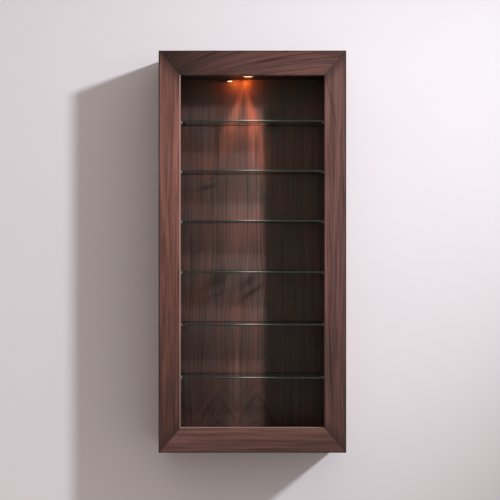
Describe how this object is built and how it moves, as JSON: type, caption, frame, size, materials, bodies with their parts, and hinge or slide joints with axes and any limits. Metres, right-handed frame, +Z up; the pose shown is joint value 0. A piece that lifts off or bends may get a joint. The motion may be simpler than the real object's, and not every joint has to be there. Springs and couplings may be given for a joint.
{
  "type": "wall display cabinet",
  "caption": "Tall open-fronted wall cabinet in dark walnut with a broad mitred frame, removable glass shelves on metal supports and small warm ceiling lamps.",
  "frame": {"origin": "middle of the two wall screws, on the wall plane", "axes": "+X to the viewer's right, +Y into the wall, +Z up"},
  "size_m": [0.42, 0.14, 0.9],
  "materials": {
    "frame_walnut": "oiled walnut, satin",
    "box_walnut": "oiled walnut, satin",
    "panel_veneer": "book-matched walnut veneer, satin",
    "liner_walnut": "walnut veneer, satin",
    "ceiling_walnut": "dark walnut veneer, satin",
    "batten_wood": "planed softwood",
    "tongue_wood": "planed beech",
    "dowel_wood": "fluted beech stock, plain",
    "cleat_wood": "planed hardwood",
    "shelf_glass": "clear float glass with polished edges",
    "pin_nickel": "bright nickel plate",
    "pad_silicone": "clear silicone",
    "lamp_bezel": "brushed, dark",
    "lamp_lens": "frosted, lit warm",
    "lamp_housing": "turned",
    "lamp_board": "white solder mask",
    "clip_steel": "spring strip",
    "driver_plastic": "moulded, fine grain",
    "screw_steel": "zinc plate",
    "terminal_plastic": "moulded",
    "inlet_brass": "nickel-free pin",
    "lead_sheath": "soft sheath",
    "saddle_plastic": "moulded",
    "grommet_rubber": "moulded"
  },
  "bodies": {
    "wall_rail": {"wall_cleat": "cleat_wood"},
    "cabinet": {"back_panel": "panel_veneer", "bottom_board": "box_walnut", "cabinet_cleat": "cleat_wood", "cleat_dowels": "dowel_wood", "cord_grommet": "grommet_rubber", "corner_splines": "tongue_wood", "driver_case": "driver_plastic", "driver_lid": "driver_plastic", "driver_screws": "screw_steel", "frame_bottom_rail": "frame_walnut", "frame_dowels": "dowel_wood", "frame_left_stile": "frame_walnut", "frame_right_stile": "frame_walnut", "frame_top_rail": "frame_walnut", "front_lamp_bezel": "lamp_bezel", "front_lamp_board": "lamp_board", "front_lamp_housing": "lamp_housing", "front_lamp_lead": "lead_sheath", "front_lamp_lens": "lamp_lens", "inlet_pins": "inlet_brass", "lamp_clips": "clip_steel", "lead_clips": "saddle_plastic", "left_liner": "liner_walnut", "left_liner_battens": "batten_wood", "left_side_board": "box_walnut", "light_panel": "ceiling_walnut", "mains_inlet": "terminal_plastic", "mitre_splines": "tongue_wood", "output_block": "terminal_plastic", "panel_dowels": "dowel_wood", "rear_lamp_bezel": "lamp_bezel", "rear_lamp_board": "lamp_board", "rear_lamp_housing": "lamp_housing", "rear_lamp_lead": "lead_sheath", "rear_lamp_lens": "lamp_lens", "right_liner": "liner_walnut", "right_liner_battens": "batten_wood", "right_side_board": "box_walnut", "shelf_pads": "pad_silicone", "shelf_pins": "pin_nickel", "top_board": "box_walnut"},
    "shelf_1": {"glass_shelf_1": "shelf_glass"},
    "shelf_2": {"glass_shelf_2": "shelf_glass"},
    "shelf_3": {"glass_shelf_3": "shelf_glass"},
    "shelf_4": {"glass_shelf_4": "shelf_glass"},
    "shelf_5": {"glass_shelf_5": "shelf_glass"},
    "shelf_6": {"glass_shelf_6": "shelf_glass"}
  },
  "joints": [
    {"name": "lift_off", "type": "slide", "parent": "wall_rail", "child": "cabinet", "axis": [0, 0, 1], "range_m": [0, 0.03]},
    {"name": "shelf_1_slide", "type": "slide", "parent": "cabinet", "child": "shelf_1", "axis": [0, -1, 0], "range_m": [0, 0.13]},
    {"name": "shelf_2_slide", "type": "slide", "parent": "cabinet", "child": "shelf_2", "axis": [0, -1, 0], "range_m": [0, 0.13]},
    {"name": "shelf_3_slide", "type": "slide", "parent": "cabinet", "child": "shelf_3", "axis": [0, -1, 0], "range_m": [0, 0.13]},
    {"name": "shelf_4_slide", "type": "slide", "parent": "cabinet", "child": "shelf_4", "axis": [0, -1, 0], "range_m": [0, 0.13]},
    {"name": "shelf_5_slide", "type": "slide", "parent": "cabinet", "child": "shelf_5", "axis": [0, -1, 0], "range_m": [0, 0.13]},
    {"name": "shelf_6_slide", "type": "slide", "parent": "cabinet", "child": "shelf_6", "axis": [0, -1, 0], "range_m": [0, 0.13]}
  ]
}
